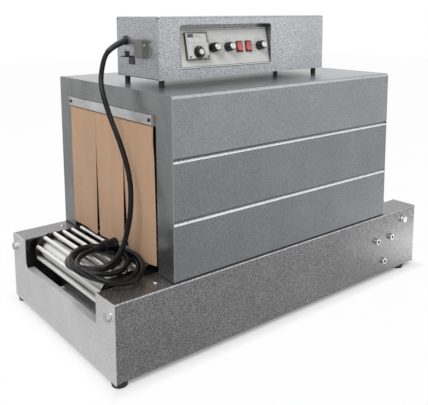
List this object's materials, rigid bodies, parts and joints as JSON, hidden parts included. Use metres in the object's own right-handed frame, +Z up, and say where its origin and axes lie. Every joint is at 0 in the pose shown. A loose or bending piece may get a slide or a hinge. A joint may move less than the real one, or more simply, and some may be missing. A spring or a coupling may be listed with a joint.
{
  "type": "shrink tunnel",
  "caption": "Table-top shrink tunnel with a chain-and-rod conveyor, a heated hood with strip curtains at both mouths and a control box on top.",
  "frame": {"origin": "on the floor, under the middle of the base", "axes": "+X along the conveyor from infeed to outfeed, -Y towards the side with the controls, +Z up"},
  "size_m": [0.7875, 0.4218, 0.5706],
  "materials": {
    "base_paint": "dark purple-grey hammertone",
    "end_paint": "light grey hammertone",
    "hood_paint": "mid-grey hammertone",
    "frame_paint": "smooth grey",
    "box_paint": "silver hammertone",
    "panel_plate": "silver-white, satin",
    "dark_recess": "black",
    "galvanised": "galvanised",
    "bright_steel": "bright ground",
    "chain_steel": "oiled, dark",
    "zinc": "zinc plated",
    "aluminium": "brushed",
    "bronze": "sintered",
    "motor_paint": "black",
    "black_rubber": "matt",
    "gasket_rubber": "matt",
    "cord_rubber": "satin",
    "curtain_cloth": "coated glass cloth",
    "mineral_wool": "loose",
    "ceramic": "unglazed",
    "heater_steel": "heat-tinted",
    "controller_grey": "light moulded",
    "clear_window": "clear",
    "black_plastic": "moulded",
    "red_plastic": "translucent",
    "board_green": "board",
    "cover_paint": "olive grey"
  },
  "bodies": {
    "root": {"front_side_panel": "base_paint", "back_side_panel": "base_paint", "infeed_end_plate": "end_paint", "outfeed_end_plate": "end_paint", "base_cross_bars": "galvanised", "rubber_feet": "black_rubber", "carrier_rods": "bright_steel", "conveyor_chains": "chain_steel", "chain_guides": "galvanised", "axles": "bright_steel", "hex_bolts": "zinc", "tension_blocks": "zinc", "gear_motor": "motor_paint", "motor_chain": "chain_steel", "hood_shell": "hood_paint", "hood_end_frames": "frame_paint", "hood_gaskets": "gasket_rubber", "chamber_liner": "galvanised", "hood_insulation": "mineral_wool", "heater_tubes": "heater_steel", "heater_end_caps": "ceramic", "upper_heater_brackets": "galvanised", "lower_heater_tray": "galvanised", "temperature_probe": "bright_steel", "curtain_bars": "aluminium", "curtain_headers": "curtain_cloth", "control_box_shell": "box_paint", "control_box_base": "box_paint", "panel_recess": "dark_recess", "panel_plate": "panel_plate", "temperature_controller": "controller_grey", "meter_window": "clear_window", "regulator_board": "board_green", "rocker_housings": "black_plastic", "cable_gland": "black_plastic", "side_cover": "cover_paint", "earth_terminal": "zinc", "small_screws": "zinc", "power_cord": "cord_rubber", "power_cord_coil": "cord_rubber", "power_plug": "cord_rubber"},
    "drive": {"drive_drum": "bright_steel", "drive_sprockets": "zinc", "drive_bushes": "bronze"},
    "tail": {"tail_drum": "bright_steel", "tail_sprockets": "zinc", "tail_bushes": "bronze"},
    "motor": {"motor_sprocket": "zinc"},
    "dial": {"temperature_dial": "black_plastic"},
    "upper_knob": {"upper_heat_knob": "black_plastic"},
    "lower_knob": {"lower_heat_knob": "black_plastic"},
    "speed_knob": {"speed_knob": "black_plastic"},
    "power_key": {"power_rocker": "red_plastic"},
    "conveyor_key": {"conveyor_rocker": "red_plastic"},
    "infeed_strip_1": {"infeed_curtain_strip_1": "curtain_cloth"},
    "infeed_strip_2": {"infeed_curtain_strip_2": "curtain_cloth"},
    "infeed_strip_3": {"infeed_curtain_strip_3": "curtain_cloth"},
    "outfeed_strip_1": {"outfeed_curtain_strip_1": "curtain_cloth"},
    "outfeed_strip_2": {"outfeed_curtain_strip_2": "curtain_cloth"},
    "outfeed_strip_3": {"outfeed_curtain_strip_3": "curtain_cloth"}
  },
  "joints": [
    {"name": "drive_turn", "type": "hinge", "parent": "root", "child": "drive", "pos_m": [0.3429, 0, 0.117], "axis": [0, 1, 0], "continuous": true},
    {"name": "tail_turn", "type": "hinge", "parent": "root", "child": "tail", "pos_m": [-0.3429, 0, 0.117], "axis": [0, 1, 0], "continuous": true},
    {"name": "motor_turn", "type": "hinge", "parent": "root", "child": "motor", "pos_m": [0.275, -0.16, 0.068], "axis": [0, 1, 0], "continuous": true},
    {"name": "dial_turn", "type": "hinge", "parent": "root", "child": "dial", "pos_m": [-0.1535, -0.11588, 0.50729], "axis": [0, -0.9816, 0.1908], "range_deg": [-135, 135]},
    {"name": "upper_heat_turn", "type": "hinge", "parent": "root", "child": "upper_knob", "pos_m": [-0.1161, -0.11148, 0.51418], "axis": [0, -0.9816, 0.1908], "range_deg": [-135, 135]},
    {"name": "lower_heat_turn", "type": "hinge", "parent": "root", "child": "lower_knob", "pos_m": [-0.0812, -0.11148, 0.51418], "axis": [0, -0.9816, 0.1908], "range_deg": [-135, 135]},
    {"name": "speed_turn", "type": "hinge", "parent": "root", "child": "speed_knob", "pos_m": [-0.0033, -0.11148, 0.51418], "axis": [0, -0.9816, 0.1908], "range_deg": [-135, 135]},
    {"name": "power_rock", "type": "hinge", "parent": "root", "child": "power_key", "pos_m": [-0.053, -0.10216, 0.51237], "axis": [1, 0, 0], "range_deg": [-16, 0]},
    {"name": "conveyor_rock", "type": "hinge", "parent": "root", "child": "conveyor_key", "pos_m": [-0.0307, -0.10216, 0.51237], "axis": [1, 0, 0], "range_deg": [-16, 0]},
    {"name": "infeed_strip_1_swing", "type": "hinge", "parent": "root", "child": "infeed_strip_1", "pos_m": [-0.277, -0.1, 0.3925], "axis": [0, -1, 0], "range_deg": [0, 75]},
    {"name": "infeed_strip_2_swing", "type": "hinge", "parent": "root", "child": "infeed_strip_2", "pos_m": [-0.277, 0, 0.3925], "axis": [0, -1, 0], "range_deg": [0, 75]},
    {"name": "infeed_strip_3_swing", "type": "hinge", "parent": "root", "child": "infeed_strip_3", "pos_m": [-0.277, 0.1, 0.3925], "axis": [0, -1, 0], "range_deg": [0, 75]},
    {"name": "outfeed_strip_1_swing", "type": "hinge", "parent": "root", "child": "outfeed_strip_1", "pos_m": [0.277, -0.1, 0.3925], "axis": [0, 1, 0], "range_deg": [-75, 75]},
    {"name": "outfeed_strip_2_swing", "type": "hinge", "parent": "root", "child": "outfeed_strip_2", "pos_m": [0.277, 0, 0.3925], "axis": [0, 1, 0], "range_deg": [-75, 75]},
    {"name": "outfeed_strip_3_swing", "type": "hinge", "parent": "root", "child": "outfeed_strip_3", "pos_m": [0.277, 0.1, 0.3925], "axis": [0, 1, 0], "range_deg": [-75, 75]}
  ],
  "couplings": [
    {"joint": "tail_turn", "follows": "drive_turn", "ratio": 1},
    {"joint": "motor_turn", "follows": "drive_turn", "ratio": 1.5}
  ]
}
